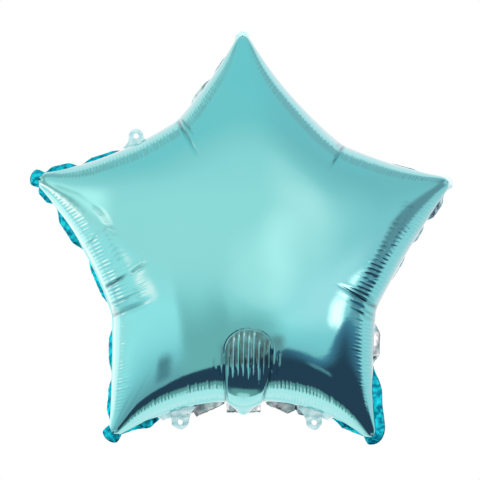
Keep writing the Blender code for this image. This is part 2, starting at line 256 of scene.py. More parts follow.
def soapFilm(ring):
    # a soap film blown over the outline rises 0 at the rim and 1 at the centre: a sum of logs of
    # the distance to sources just outside the rim, less a bowl, fitted to be 0 all along the rim
    sources = ring + filmGrid["sourceStandOff"] * outwardNormals(ring)
    edge = np.concatenate([ring, (ring + np.roll(ring, -1, 0)) / 2])

    def terms(at):
        gapX = at[:, None, 0] - sources[None, :, 0]
        gapZ = at[:, None, 1] - sources[None, :, 1]
        return np.concatenate([0.5 * np.log(gapX * gapX + gapZ * gapZ), np.ones((len(at), 1))], 1)

    def bowl(at):
        return ((at - centrePoint()) ** 2).sum(1) / 4

    weights = np.linalg.lstsq(terms(edge), bowl(edge), rcond=1e-11)[0]
    top = (terms(centrePoint()[None]) @ weights)[0]

    def rise(at):
        parts = np.array_split(at, max(1, len(at) // 4000))
        return np.concatenate([(terms(part) @ weights - bowl(part)) / top for part in parts])

    return rise


def filmDepth(rise):
    rise = np.maximum(rise, 0.0)
    return starShape["halfDepth"] * np.sqrt(rise) * (1 + starShape["legFullness"] * (1 - rise))


def filmNormals(film, at, rise):
    # the in-plane and off-plane parts of the film's outward normal, which hold at the rim too
    step = 0.0001
    slope = []
    for move in (np.array([step, 0.0]), np.array([0.0, step])):
        slope.append((film(at + move) - film(at - move)) / (2 * step))
    rise = np.maximum(rise, 0.0)
    full = starShape["legFullness"]
    steepness = starShape["halfDepth"] * (0.5 * (1 + full * (1 - rise)) - full * rise)
    normals = np.stack([-steepness * slope[0], -steepness * slope[1], np.sqrt(rise)], 1)
    return normals / np.linalg.norm(normals, axis=1)[:, None]


# creases pressed into the film, in millimetres: points across and up, how deep and how wide, and
# over what share of its length each one fades. They run in from the valleys, round the throat,
# and faintly out of the lower tips
frontCreases = (
    (((-65, 292), (-55.9, 276.9), (-48.6, 264.3), (-41.7, 252.5)), 3, 1.4, 0.7),
    (((-60, 291.5), (-50, 277.5), (-45.5, 271.5)), 1.2, 1.2, 0.6),
    (((97.5, 267.6), (88.8, 253.6), (79.7, 239.2)), 3, 1.3, 0.7),
    (((94, 270), (87.5, 260)), 0.8, 1.2, 0.5),
    (((130, 108.5), (110.9, 119), (96.6, 128), (84, 134.7)), 1.9, 1.4, 0.5),
    (((125, 116), (108, 126), (88.8, 134)), 0.7, 1.2, 0.5),
    (((126, 101), (110, 111), (90, 123)), 0.8, 1.3, 0.5),
    (((128, 96), (115, 102), (101, 111)), 0.5, 1.2, 0.5),
    (((-130, 100), (-110.6, 109.6), (-97.4, 115), (-85.7, 120.9)), 2.2, 1.4, 0.4),
    (((-128, 106), (-110, 115), (-93, 122)), 0.6, 1.2, 0.5),
    (((-131, 111), (-115, 118), (-95, 127)), 0.6, 1.2, 0.5),
    (((-133, 128.5), (-116.9, 137.7), (-106.6, 144.5)), 1.9, 1.4, 0.4),
    (((-104, 144), (-96, 150), (-89, 155)), 1.2, 1.5, 0.5),
    (((-153, 166.5), (-143.3, 174.1), (-133, 186)), 0.5, 1.3, 0.5),
    (((-144, 208), (-130, 196), (-120, 183)), 0.6, 2.2, 0.6),
    (((-17.2, 12), (-17.2, 38.8), (-17.2, 73.5)), 1.5, 1.1, 0.01),
    (((18.6, 12), (19, 22.8), (21, 34), (23.5, 44), (27.5, 73.5)), 1.5, 1.1, 0.01),
    (((-21.5, 48), (-22.6, 63.9), (-22.6, 77)), 0.6, 1, 0.4),
    (((-26.2, 56), (-26.8, 69)), 0.35, 1, 0.4),
    (((30, 48), (32.2, 61), (32.5, 74)), 0.6, 1, 0.4),
    (((-127.5, -11), (-110.9, 20), (-97.5, 41.8)), 0.16, 1.5, 0.5),
    (((-125.5, -11), (-108.2, 14), (-82.1, 60.6)), 0.13, 1.5, 0.5),
    (((-128.5, -6), (-121, 25), (-114, 56)), 0.1, 1.5, 0.5),
    (((-188, 229), (-160, 219), (-134.4, 202)), 0.4, 2, 0.5),
    (((127, -17), (120, 15), (112, 48)), 0.13, 1.8, 0.5),
)

# rows of short dents beside the side valleys, where the film was folded when it was packed, in
# millimetres: the middles of the first and last dent, how many, their half length, depth and width
dentRows = (
    ((-136.5, 202), (-120, 180), 9, 4, 0.6, 1),
    ((-130, 184), (-117, 156), 7, 4.4, 0.5, 1.1),
    ((-124, 133), (-119, 106), 10, 3, 0.45, 1),
    ((-101, 128), (-96, 115), 5, 6, 0.35, 1.1),
    ((154.5, 211.5), (108, 130), 20, 3.4, 0.7, 1),
    ((160, 206.5), (115, 127), 20, 2.6, 0.6, 1),
)

creaseShape = {
    "reach": 5,  # how many widths a crease reaches to each side
    "shoulder": 0.40,
    "shoulderWidth": 2.2,
    "sharpness": 1.4,
    "startFade": 0.08,
    "darkest": 0.9,
    "darkestDepth": 0.002,
    "dentFade": 0.5,
    "dentLean": 0.34,
    "dentLengths": (0.7, 0.3),  # the least, and what is added or taken off in turn
}


def allCreases():
    creases = []
    for line, deep, wide, fades in frontCreases:
        creases.append((np.array(line) / 1000, deep / 1000, wide / 1000, fades))
    for start, end, many, half, deep, wide in dentRows:
        start, end = np.array(start) / 1000, np.array(end) / 1000
        along = (end - start) / np.linalg.norm(end - start)
        turned = 0.94 * np.array([along[1], -along[0]]) + creaseShape["dentLean"] * along
        least, change = creaseShape["dentLengths"]
        for k in range(many):
            middle = start + (end - start) * k / (many - 1)
            reach = half / 1000 * (least + change * math.sin(5.1 * k + many)) * turned
            line = (middle - reach, middle, middle + reach)
            creases.append((line, deep / 1000, wide / 1000, creaseShape["dentFade"]))
    return creases


def distanceToLine(at, line):
    # the distance from each point to a line of straight runs, and how far along it lies nearest
    best = np.full(len(at), 1.0)
    place = np.zeros(len(at))
    done = 0.0
    for start, end in zip(line, line[1:]):
        start, end = np.array(start), np.array(end)
        length = np.linalg.norm(end - start)
        share = np.clip(((at - start) @ (end - start)) / length**2, 0, 1)
        gap = np.linalg.norm(at - start - share[:, None] * (end - start), axis=1)
        nearer = gap < best
        best[nearer] = gap[nearer]
        place[nearer] = done + share[nearer] * length
        done += length
    return best, place / done


def creasePush(at, creases):
    # each crease is a sharp groove between two low shoulders, fading at both ends. Inside a deep
    # one the film faces itself, so shade is painted there: the second array darkens its colour
    shape = creaseShape
    push, shade = np.zeros(len(at)), np.zeros(len(at))
    for line, deep, wide, fades in creases:
        reach = shape["reach"] * wide
        near = np.all((at > line.min(0) - reach) & (at < line.max(0) + reach), axis=1)
        if not near.any():
            continue
        gap, place = distanceToLine(at[near], line)
        fade = np.clip(place / min(shape["startFade"], fades), 0, 1)
        fade = fade * np.clip((1 - place) / fades, 0, 1) * (gap < reach)
        shoulder = shape["shoulder"] * np.exp(-((gap / (shape["shoulderWidth"] * wide)) ** 2))
        push[near] += deep * fade * (shoulder - np.exp(-np.abs(gap / wide) ** shape["sharpness"]))
        dark = min(shape["darkest"], deep / shape["darkestDepth"])
        shade[near] = np.maximum(shade[near], dark * fade * np.exp(-((gap / wide) ** 2)))
    return push, shade


# between the two long creases the throat stands proud, like a tongue that sinks in at its top
throatTube = {
    "height": 0.0036,
    "heightAbove": 0.0012,
    "foot": 0.004,
    "full": 0.022,
    "slack": 0.056,
    "end": 0.090,
    "middle": 0.0006,
    "lean": 0.056,
    "halfWidth": 0.0166,
    "flare": 0.076,
}

# the tongue ends in a dome of doubled film, with thin raised pleats
throatDome = {
    "middle": 0.0049,
    "halfWidth": 0.0226,
    "start": 0.0735,
    "height": 0.0205,
    "pleatPitch": 0.0047,
    "pleatHalfWidth": 0.0012,
    "pleatHeight": 0.0009,
    "pleatHeights": (0.8, 0.3),  # the middle, and what is added or taken off in turn
    "pleatFoot": 0.0470,
    "pleatStagger": 0.004,
    "pleatFade": 0.0080,
    "pleatTop": (0.65, 0.95),  # where they end, on the way from the dome's middle to its edge
}


def throatPush(at):
    tube, dome = throatTube, throatDome
    across = at[:, 0] - tube["middle"] - tube["lean"] * at[:, 1]
    across = across / (tube["halfWidth"] + tube["flare"] * at[:, 1])
    inside = np.maximum(1 - across**2, 0) ** 0.5
    drop = smoothStep(at[:, 1], tube["full"], tube["slack"])
    height = tube["height"] + (tube["heightAbove"] - tube["height"]) * drop
    height = height * (1 - smoothStep(at[:, 1], tube["slack"], tube["end"]))
    tongue = height * inside * smoothStep(at[:, 1], tube["foot"], tube["full"])
    sideways = at[:, 0] - dome["middle"]
    number = np.round(sideways / dome["pleatPitch"])
    away = np.abs(sideways - number * dome["pleatPitch"])
    above = np.maximum(at[:, 1] - dome["start"], 0) / dome["height"]
    out = np.hypot(sideways / dome["halfWidth"], above)
    foot = dome["pleatFoot"] + dome["pleatStagger"] * np.sin(2.3 * number)
    pleats = smoothStep(away, dome["pleatHalfWidth"], 0) * (1 - smoothStep(out, *dome["pleatTop"]))
    pleats = pleats * smoothStep(at[:, 1], foot, foot + dome["pleatFade"])
    middling, change = dome["pleatHeights"]
    return tongue + dome["pleatHeight"] * (middling + change * np.sin(1.7 * number)) * pleats


# broad, shallow unevenness, so that reflections don't run dead true
slowWave = {
    "sizes": (0.140, 0.085, 0.052),
    "height": 0.0014,  # as a share of the size
    "ofEach": 4,
    "seed": 4,
}


def slowWaves(at, facing):
    random = np.random.RandomState(slowWave["seed"] + facing)
    push = np.zeros(len(at))
    for size in slowWave["sizes"]:
        for _ in range(slowWave["ofEach"]):
            angle = random.rand() * math.pi
            turn = random.rand() * 2 * math.pi
            along = at @ np.array([math.cos(angle), math.sin(angle)])
            push += slowWave["height"] * size * np.sin(2 * math.pi * along / size + turn)
    return push


def gatherPush(phase, run, share, fromTip, reach, high):
    # round ridges with sharp valleys between, each tapering to a point at its own reach
    taper = np.clip(1 - run / reach, 0, 1)
    ridge = np.abs(np.sin(math.pi * phase)) - gathers["sharpness"] * (1 - taper) ** 2
    clear = np.clip((fromTip - gathers["clearOfTip"]) / gathers["clearOfTip"], 0, 1)
    grow = smoothStep(run, *gathers["smoothRim"])
    return high * np.clip(ridge, 0, 1) * np.sqrt(taper) * grow * (1 - share) * clear


def rowStride(row, facing):
    second, fourth = filmGrid["frontThinned" if facing < 0 else "backThinned"]
    return 1 if row < second else 2 if row < fourth else 4


def filmSide(film, facing, tip, mirrored, rim, ridge, phase):
    # one side of a leg on one face of the star: points row by row, and the faces between them
    random = np.random.RandomState(gathers["seed"] + 4 * tip + 2 * mirrored + (facing > 0))
    number = np.floor(phase).astype(int)
    fromTip = arcLength(rim)
    near, far, factor = gathers["sides"][tip, "before" if mirrored else "after"]
    reach = gathers["backReach"]
    if facing < 0:
        reach = near + (far - near) * smoothStep(fromTip / fromTip[-1], 0.1, 0.9)
    reach = reach * (1 + gathers["reachSpread"] * random.uniform(-1, 1, number.max() + 1)[number])
    high = random.uniform(*gathers["heightSpread"], number.max() + 1)[number]
    high = factor * gathers["height"] * high
    last = len(rim) - 1
    length = np.linalg.norm(ridge - rim, axis=1)
    rimRise = film(rim)
    creases = [(np.array(line) * (-facing, 1), *rest) for line, *rest in allCreases()]
    points, faces, shades, grid = [], [], [], []
    count = 0
    for row in range(filmGrid["rows"] + 1):
        share = 1 - math.cos(math.pi / 2 * row / filmGrid["rows"])
        column = np.arange(0, last + 1, rowStride(row, facing))
        at = rim[column] + share * (ridge[column] - rim[column])
        rise = film(at) - (1 - share) ** 4 * rimRise[column]
        run = share * length[column]
        around = (values[column] for values in (fromTip, reach, high))
        push = gatherPush(phase[column], run, share, *around)
        calm = np.clip(run / filmGrid["calmRim"], 0, 1)
        creased, shade = creasePush(at, creases)
        push = push + (creased + slowWaves(at, facing)) * calm
        if facing < 0:
            push = push + throatPush(at) * calm
        normals = filmNormals(film, at, rise)
        inside = (row > 0) * (column > 0)
        push = push * inside
        flat = at + push[:, None] * normals[:, :2]
        depth = filmDepth(rise) * inside + push * normals[:, 2]
        points.append(np.stack([flat[:, 0], facing * depth, flat[:, 1]], 1))
        shades.append(shade * np.clip(run / filmGrid["unshadedRim"], 0, 1))
        grid.append(np.full(last + 1, -1))
        grid[-1][column] = count + np.arange(len(column))
        count += len(column)
    for row in range(filmGrid["rows"]):
        fine, coarse = rowStride(row, facing), rowStride(row + 1, facing)
        for column in range(0, last, coarse):
            near = [grid[row][k] for k in range(column, column + coarse + 1, fine)]
            faces.append(near + [grid[row + 1][column + coarse], grid[row + 1][column]])
    return np.concatenate(points), faces, np.concatenate(shades)


def addObject(name, data):
    made = bpy.data.objects.new(name, data)
    bpy.context.scene.collection.objects.link(made)
    return made


def meshObject(name, points, faces, material, weld=0.0, shade=None):
    data = bpy.data.meshes.new(name)
    data.from_pydata([tuple(point) for point in points], [], faces)
    if shade is not None:
        data.attributes.new("shade", "FLOAT", "POINT").data.foreach_set("value", shade)
    cleaner = bmesh.new()
    cleaner.from_mesh(data)
    if weld:
        bmesh.ops.remove_doubles(cleaner, verts=cleaner.verts, dist=weld)
    bmesh.ops.recalc_face_normals(cleaner, faces=cleaner.faces)
    cleaner.to_mesh(data)
    cleaner.free()
    data.materials.append(material)
    data.shade_smooth()
    return addObject(name, data)


def starFilm(film, sides, material):
    points, faces, shades = [], [], []
    count = 0
    for tip in range(5):
        runs = [arcLength(sides[tip, mirrored][0]) for mirrored in (True, False)]
        share = (runs[0] / runs[0][-1] + runs[1] / runs[1][-1]) / 2
        for mirrored in (True, False):
            rim, phase = sides[tip, mirrored]
            ridge = rim[0] + share[:, None] * (centrePoint() - rim[0])
            for facing in (-1, 1):
                some, loops, shade = filmSide(film, facing, tip, mirrored, rim, ridge, phase)
                points.append(some)
                shades.append(shade)
                faces.extend([count + k for k in loop] for loop in loops)
                count += len(some)
    points, shades = np.concatenate(points), np.concatenate(shades)
    return meshObject("starFilm", points, faces, material, 2e-7, shades)


# the welded seam: a flat band that folds back out of sight except along these lobes. Each is a
# tip, the side of it, where the lobe starts and ends along that side from the tip, how much of it
# shows, and what it is made of: the tinted film, its untinted back, or clear film round a tab.
# A last number is the share of the lobe over which it narrows towards the valley
seamBand = {
    "width": 0.0075,
    "valleyWidth": 0.0035,
    "thickness": 0.00024,
    "hidden": 0.0004,
    "crinkle": 0.00010,
    "rows": 7,
    "seed": 21,
    "lobes": (
        (0, "after", 0.18, 0.50, 0.0022, "silver"),
        (0, "after", 0.42, 0.86, 0.0042, "silver"),
        (1, "before", 0.02, 0.31, 0.0060, "tinted"),
        (1, "before", 0.26, 0.64, 0.0050, "tinted"),
        (1, "before", 0.58, 0.90, 0.0030, "clear"),
        (1, "after", 0.02, 0.21, 0.0060, "tinted"),
        (1, "after", 0.19, 0.60, 0.0076, "tinted"),
        (1, "after", 0.56, 1.00, 0.0056, "tinted"),
        (2, "before", 0.05, 0.50, 0.0048, "tinted"),
        (2, "before", 0.44, 0.94, 0.0052, "tinted"),
        (2, "after", 0.00, 0.53, 0.0084, "tinted", 0.40),
        (2, "after", 0.38, 0.58, 0.0070, "clear"),
        (2, "after", 0.54, 0.78, 0.0084, "silver"),
        (2, "after", 0.70, 1.15, 0.0138, "silver", 0.93),
        (3, "before", 0.00, 0.46, 0.0068, "tinted", 0.40),
        (3, "before", 0.36, 0.56, 0.0060, "clear"),
        (3, "before", 0.50, 0.78, 0.0100, "silver"),
        (3, "before", 0.66, 1.15, 0.0122, "silver", 0.72),
        (3, "after", -0.30, 0.66, 0.0102, "tinted"),
        (3, "after", 0.52, 0.93, 0.0082, "silver"),
        (4, "before", 0.06, 0.34, 0.0058, "silver"),
        (4, "before", 0.30, 0.52, 0.0042, "silver"),
        (4, "before", 0.48, 0.90, 0.0036, "silver"),
        (4, "after", 0.22, 0.60, 0.0024, "tinted"),
    ),
    # the cap beyond each tip: its radius, how far out its middle is, and what it is made of
    "caps": (
        (0.0045, 0.0012, "clear"),
        (0.0066, 0.0030, "tinted"),
        (0.0080, 0.0018, "tinted"),
        (0.0068, 0.0030, "tinted"),
        (0.0051, 0.0004, "clear"),
    ),
    "capRun": (0.0035, 0.0100),
    "kinds": ("tinted", "silver", "clear"),
    "neckColumns": 22,  # round the throat it all folds back
    "lobeEdge": 0.34,  # the share of a lobe over which it starts and ends
    "inFilm": 0.0008,
    "curlNoise": ((0.034, 0.03),),
    "wrinkles": ((0.0065, 0.5), (0.0036, 0.3)),
}


def seamSide(rim, tip, mirrored):
    # how much of the band shows at each column of one side, how wide it is, and its kind
    run = arcLength(rim)
    atNeck = len(legPieces(tip, mirrored)) > 3
    corner = len(rim) - 1 - (seamBand["neckColumns"] if atNeck else 0)
    share = run / run[corner]
    shows = np.full(len(rim), seamBand["hidden"])
    kind = np.zeros(len(rim), int)
    for lobeTip, side, start, end, most, madeOf, *narrowing in seamBand["lobes"]:
        if (lobeTip, side == "before") == (tip, mirrored):
            if narrowing:
                foot = np.clip((share - start) / (1 - narrowing[0]) / (end - start), 0, 1)
                lobe = most * foot * np.clip((end - share) / narrowing[0] / (end - start), 0, 1)
            else:
                edge = seamBand["lobeEdge"] * (end - start)
                lobe = most * smoothStep(share, start, start + edge)
                lobe = lobe * (1 - smoothStep(share, end - edge, end))
            kind[lobe > shows] = seamBand["kinds"].index(madeOf)
            shows = np.maximum(shows, lobe)
    shows[corner + 1 :] = seamBand["hidden"]
    radius, out, madeOf = seamBand["caps"][tip]
    axis = (tipPoint(tip) - centrePoint()) / np.linalg.norm(tipPoint(tip) - centrePoint())
    along = np.gradient(rim, axis=0)
    along /= np.linalg.norm(along, axis=1)[:, None]
    sine = np.clip(along @ axis * -1, 0, 1)  # how far round the cap the rim faces at each column
    reach = out * np.sqrt(1 - sine**2) + np.sqrt(np.maximum(radius**2 - (out * sine) ** 2, 0))
    cap = reach * (1 - smoothStep(run, *seamBand["capRun"]))
    kind[cap > shows] = seamBand["kinds"].index(madeOf)
    shows = np.maximum(shows, cap)
    width = np.interp(share, (0.85, 1), (seamBand["width"], seamBand["valleyWidth"]))
    return shows, np.maximum(width, 1.02 * shows), kind


def smoothNoise(run, whole, sizes, seed):
    random = np.random.RandomState(seed)
    noise = np.zeros(len(run))
    for size, high in sizes:
        waves = max(1, round(whole / size))
        for _ in range(3):
            waves += 1
            noise += high * np.sin(2 * math.pi * (waves * run / whole + random.rand()))
    return noise


def starSeam(sides, materials):
    rim = ringOf({key: side[0] for key, side in sides.items()})
    shapes = {key: seamSide(side[0], *key) for key, side in sides.items()}
    parts = [{key: shape[part] for key, shape in shapes.items()} for part in range(3)]
    shows, width, kind = map(ringOf, parts)
    run = arcLength(rim)
    whole = run[-1] + np.linalg.norm(rim[-1] - rim[0])
    normals = outwardNormals(rim)
    for _ in range(4):  # the free edge swings round the corners evenly
        normals = (np.roll(normals, 1, 0) + 2 * normals + np.roll(normals, -1, 0)) / 4
        normals /= np.linalg.norm(normals, axis=1)[:, None]
    curl = np.arccos(np.clip(shows / width, 0, 1))
    curl = curl + smoothNoise(run, whole, seamBand["curlNoise"], seamBand["seed"])
    rows = seamBand["rows"]
    at = np.concatenate([rim - seamBand["inFilm"] * normals, np.zeros((len(rim), 1))], 1)
    front, back = [], []
    for row in range(rows + 1):
        share = row / rows
        angle = curl * (0.75 + 0.5 * share)
        step = np.column_stack([normals * np.cos(angle)[:, None], np.sin(angle)])
        face = np.column_stack([-normals * np.sin(angle)[:, None], np.cos(angle)])
        wrinkle = smoothNoise(run, whole, seamBand["wrinkles"], seamBand["seed"] + 2 + row)
        middle = at + face * (seamBand["crinkle"] * share * wrinkle)[:, None]
        for side, sign in ((front, -1), (back, 1)):
            place = middle + face * sign * seamBand["thickness"] / 2
            side.append(np.stack([place[:, 0], place[:, 2], place[:, 1]], 1))
        at = at + step * (width / rows)[:, None]
    loops = front + back[::-1]
    count = len(rim)
    faces = []
    for loop in range(len(loops)):
        here, there = loop * count, (loop + 1) % len(loops) * count
        for column in range(count):
            before = (column - 1) % count
            faces.append([here + before, here + column, there + column, there + before])
    seam = meshObject("weldedSeam", np.concatenate(loops), faces, materials[0])
    for material in materials[1:]:
        seam.data.materials.append(material)
    seam.data.polygons.foreach_set("material_index", np.tile(kind, len(loops)))
    return seam


# the eyelet tabs: the tip and side each one is on, how far along it, which way it points, how far
# its hole is from the film's rim, how wide it is, and how crumpled
eyeletTabs = {
    "upperTab": (1, True, 0.705, 96.0, 0.0080, 0.0145, 0.0),
    "lowerLeftTab": (2, False, 0.625, 266.0, 0.0135, 0.0175, 0.0016),
    "lowerRightTab": (3, True, 0.585, 277.0, 0.0135, 0.0160, 0.0013),
}
tabShape = {
    "rootWidth": 0.0300,
    "thickness": 0.00040,
    "depthInFilm": 0.0030,
    "holeToEnd": 0.0072,
    "holeRadius": 0.0026,
    "bevel": 0.00006,
    "finest": 0.0016,  # longer edges are cut, so that the film can bend
    "wave": (620, 900),  # ripples across and up, in radians a metre
    "lift": 0.0004,
}


def tabOutline(foot, bearing, holeFromRim, width):
    # a rounded ear whose sides flare out into the seam
    out = direction(bearing)
    across = np.array([-out[1], out[0]])
    hole = foot + holeFromRim * out
    bend = hole + (tabShape["holeToEnd"] - width / 2) * out
    deep = tabShape["depthInFilm"]
    half = []
    for k in range(9):
        share = k / 8
        side = width / 2 + (tabShape["rootWidth"] - width) / 2 * (1 - share) ** 2.2
        half.append((side, share * (np.dot(bend - foot, out) + deep) - deep))
    edge = [foot - side * across + rise * out for side, rise in half]
    for k in range(1, 24):
        angle = math.pi * k / 24
        edge.append(bend + width / 2 * (math.sin(angle) * out - math.cos(angle) * across))
    edge.extend(foot + side * across + rise * out for side, rise in reversed(half))
    rim = [hole + tabShape["holeRadius"] * direction(360 * k / 40) for k in range(40)]
    return edge, rim


def eyeletTab(name, foot, bearing, holeFromRim, width, crumple, material):
    edge, rim = tabOutline(foot, bearing, holeFromRim, width)
    curve = bpy.data.curves.new(name, "CURVE")
    curve.dimensions = "2D"
    curve.fill_mode = "BOTH"
    curve.extrude = tabShape["thickness"] / 2 - tabShape["bevel"]
    curve.bevel_depth = tabShape["bevel"]
    curve.bevel_resolution = 1
    for outline in (edge, rim):
        spline = curve.splines.new("POLY")
        spline.points.add(len(outline) - 1)
        for point, place in zip(spline.points, outline):
            point.co = (place[0], place[1], 0.0, 1.0)
        spline.use_cyclic_u = True
    drawn = addObject(name, curve)
    drawn.matrix_world = Matrix.Rotation(math.pi / 2, 4, "X")
    bpy.context.view_layer.update()
    solid = drawn.evaluated_get(bpy.context.evaluated_depsgraph_get())
    data = bpy.data.meshes.new_from_object(solid)
    data.transform(drawn.matrix_world)
    bpy.data.objects.remove(drawn)
    cleaner = bmesh.new()
    cleaner.from_mesh(data)
    bmesh.ops.remove_doubles(cleaner, verts=cleaner.verts, dist=1e-6)
    bmesh.ops.triangulate(cleaner, faces=cleaner.faces)
    for _ in range(3):
        long = [edge for edge in cleaner.edges if edge.calc_length() > tabShape["finest"]]
        bmesh.ops.subdivide_edges(cleaner, edges=long, cuts=1)
        bmesh.ops.triangulate(cleaner, faces=cleaner.faces)
    across, up = tabShape["wave"]
    for vertex in cleaner.verts:
        out = np.dot(np.array([vertex.co.x, vertex.co.z]) - foot, direction(bearing))
        wave = math.sin(across * vertex.co.x + 3000 * crumple)
        wave += 0.6 * math.sin(up * vertex.co.z + 1.3)
        lift = tabShape["lift"] * min(1, max(0, out / 0.012))
        vertex.co.y += crumple * wave * min(1, max(0, out / 0.010)) + lift
    bmesh.ops.recalc_face_normals(cleaner, faces=cleaner.faces)
    cleaner.to_mesh(data)
    cleaner.free()
    data.materials.clear()
    data.materials.append(material)
    data.shade_smooth()
    data.set_sharp_from_angle(angle=math.radians(40))
    return addObject(name, data)


# the flat filling tail: two more sheets of the film, folded up behind the throat
tailShape = {
    "width": 0.0340,
    "thickness": 0.00050,
    "rootHeight": 0.0110,
    "foldHeight": 0.0012,
    "foldRadius": 0.0032,
    "rise": 0.0440,
    "clearance": 0.0020,
    "crumple": 0.00030,
    "flatRoot": 0.006,
    "columns": 36,
    "rows": 44,
}


def fillingTail(film, material):
    radius = tailShape["foldRadius"]
    bottom = tailShape["foldHeight"] + tailShape["thickness"] / 2 + radius
    line = [(0.0, tailShape["rootHeight"] - 0.001 * k) for k in range(6)]
    for angle in np.linspace(0, math.pi, 13):
        line.append((radius - radius * math.cos(angle), bottom - radius * math.sin(angle)))
    clearance = tailShape["clearance"] + tailShape["thickness"] / 2
    for k in range(1, tailShape["rows"] + 1):
        height = bottom + k * tailShape["rise"] / tailShape["rows"]
        behind = filmDepth(film(np.array([[0.0, height]])))[0] + clearance
        line.append((max(2 * radius, behind), height))
    line = np.array(line)
    along = np.gradient(line, axis=0)
    across = np.stack([-along[:, 1], along[:, 0]], 1) / np.linalg.norm(along, axis=1)[:, None]
    run = arcLength(line)
    rows, columns = len(line), tailShape["columns"]
    points = []
    for sign in (-1, 1):
        for x in tailShape["width"] * (np.arange(columns + 1) / columns - 0.5):
            wrinkle = np.sin(900 * x + 260 * run) * np.sin(410 * run - 300 * x + 1.0)
            wrinkle = wrinkle + 0.6 * np.sin(1500 * x - 500 * run)
            lift = tailShape["crumple"] * wrinkle * np.clip(run / tailShape["flatRoot"], 0, 1)
            place = line + across * (lift + sign * tailShape["thickness"] / 2)[:, None]
            points.extend((x, y, z) for y, z in place)
    faces = []
    half = (columns + 1) * rows
    for k in range(columns):
        for row in range(rows - 1):
            a = k * rows + row
            faces.append([a, a + 1, a + rows + 1, a + rows])
            faces.append([half + a, half + a + rows, half + a + rows + 1, half + a + 1])
    for k in range(columns):
        for row in (0, rows - 1):
            a = k * rows + row
            faces.append([a, a + rows, half + a + rows, half + a])
    for row in range(rows - 1):
        for k in (0, columns):
            a = k * rows + row
            faces.append([a, a + 1, half + a + 1, half + a])
    return meshObject("fillingTail", points, faces, material)


def linear(code):
    # an sRGB hex colour as the linear numbers that the shaders take
    values = [int(code[k : k + 2], 16) / 255 for k in (1, 3, 5)]
    return *(v / 12.92 if v <= 0.04045 else ((v + 0.055) / 1.055) ** 2.4 for v in values), 1.0


def addNode(tree, kind, *values, **named):
    # a node with its settings, whose names start with a small letter, and its inputs, in order or
    # by name. An input is a value, an output, or a node whose first output is meant
    node = tree.nodes.new("ShaderNode" + kind)
    for name in [name for name in named if name[0].islower()]:
        setattr(node, name, named.pop(name))
    inOrder = [socket for socket in node.inputs if socket.enabled]
    for name, value in [*enumerate(values), *named.items()]:
        socket = node.inputs[name.replace("_", " ")] if isinstance(name, str) else inOrder[name]
        if isinstance(value, bpy.types.Node):
            value = next(output for output in value.outputs if output.enabled)
        if isinstance(value, bpy.types.NodeSocket):
            tree.links.new(value, socket)
        else:
            socket.default_value = value
    return node


def product(tree, whole, *factors):
    for factor in factors:
        whole = addNode(tree, "Math", whole, factor, operation="MULTIPLY")
    return whole


smooth = {"interpolation_type": "SMOOTHSTEP"}


def newMaterial(name):
    # the material, what adds its nodes, and its shader
    material = bpy.data.materials.new(name)
    material.use_nodes = True
    tree = material.node_tree
    return material, partial(addNode, tree), tree.nodes["Principled BSDF"]


def perMetre(millimetres):
    return 1000 / millimetres


# the tinted film, with the sizes of its patches in millimetres
filmFinish = {
    "lacquer": ("#6cd0d5", "#74d4d7"),
    "lacquerPatch": 90,
    "haze": (0.055, 0.085),
    "hazePatch": 24,
    "mark": 3.2,
    "markStrength": 0.035,
    "markDepth": 0.0004,
    "paintedDomeReflection": "#567677",
    "domeLineShade": "#2c7a86",
    # painted shade in deep creases
    "creased": "#12606c",
}


def metallisedPolyester():
    # vapour-metallised polyester film under a cyan lacquer, stretched tight: a tinted mirror with
    # a breath of haze, so that what it reflects keeps soft edges
    material, add, shader = newMaterial("vapour-metallised polyester film")
    tree = material.node_tree
    shader.inputs["Metallic"].default_value = 1.0
    place = add("TexCoord").outputs["Object"]
    # the lacquer lies a touch thicker here and there
    patches = add("TexNoise", Vector=place, Scale=perMetre(filmFinish["lacquerPatch"]), Detail=2.0)
    colour = add("Mix", patches, *map(linear, filmFinish["lacquer"]), data_type="RGBA")
    haze = add("TexNoise", Vector=place, Scale=perMetre(filmFinish["hazePatch"]), Detail=3.0)
    dull = add("MapRange", haze, 0.0, 1.0, *filmFinish["haze"])
    tree.links.new(dull.outputs[0], shader.inputs["Roughness"])
    # calender marks, just enough to break a straight reflection
    marks = add("TexNoise", Vector=place, Scale=perMetre(filmFinish["mark"]), Detail=1.0)
    strength, depth = filmFinish["markStrength"], filmFinish["markDepth"]
    normal = add("Bump", Strength=strength, Distance=depth, Height=marks)
    normal, paintedDomeReflection, lined = throatDomeParts(tree, place, normal)
    tree.links.new(normal.outputs["Normal"], shader.inputs["Normal"])
    # a dull dark reflection is painted over the throat's dome, shade is painted along the dome's
    # outline, and painted shade darkens every deep crease
    creased = add("Attribute", attribute_name="shade").outputs["Fac"]
    for share, dark in ((paintedDomeReflection, "paintedDomeReflection"), (lined, "domeLineShade"), (creased, "creased")):
        colour = add("Mix", share, colour, linear(filmFinish[dark]), data_type="RGBA")
    tree.links.new(colour.outputs[2], shader.inputs["Base Color"])
    return material


# the look of the dome: where a dull dark reflection is painted into its colour between foot and
# head, the painted shade along its outline, and how the pleats are spared the painted reflection. A
# pair of numbers is where something starts and where it is full
domeFinish = {
    "edge": (1.0, 0.93),  # on the way from its middle to its edge, as the pleats' tops are
    "foot": 0.0560,
    "head": (0.106, 0.084),
    "reflectionStrength": 0.75,
    "reflectionPatch": 6,  # millimetres
    "reflectionPatches": (1.4, 0.3),  # how much the patches change the painted reflection's strength, and its least
    "line": 0.0011,
    "lineFoot": (0.066, 0.074),
    "lineStrength": 0.6,
    "pleatStagger": 0.010,
    "pleatTop": (1.05, 0.75),
    "pleatTopStagger": 0.35,
    "pleatShine": 0.8,
    "pleatRelief": 0.4,
}


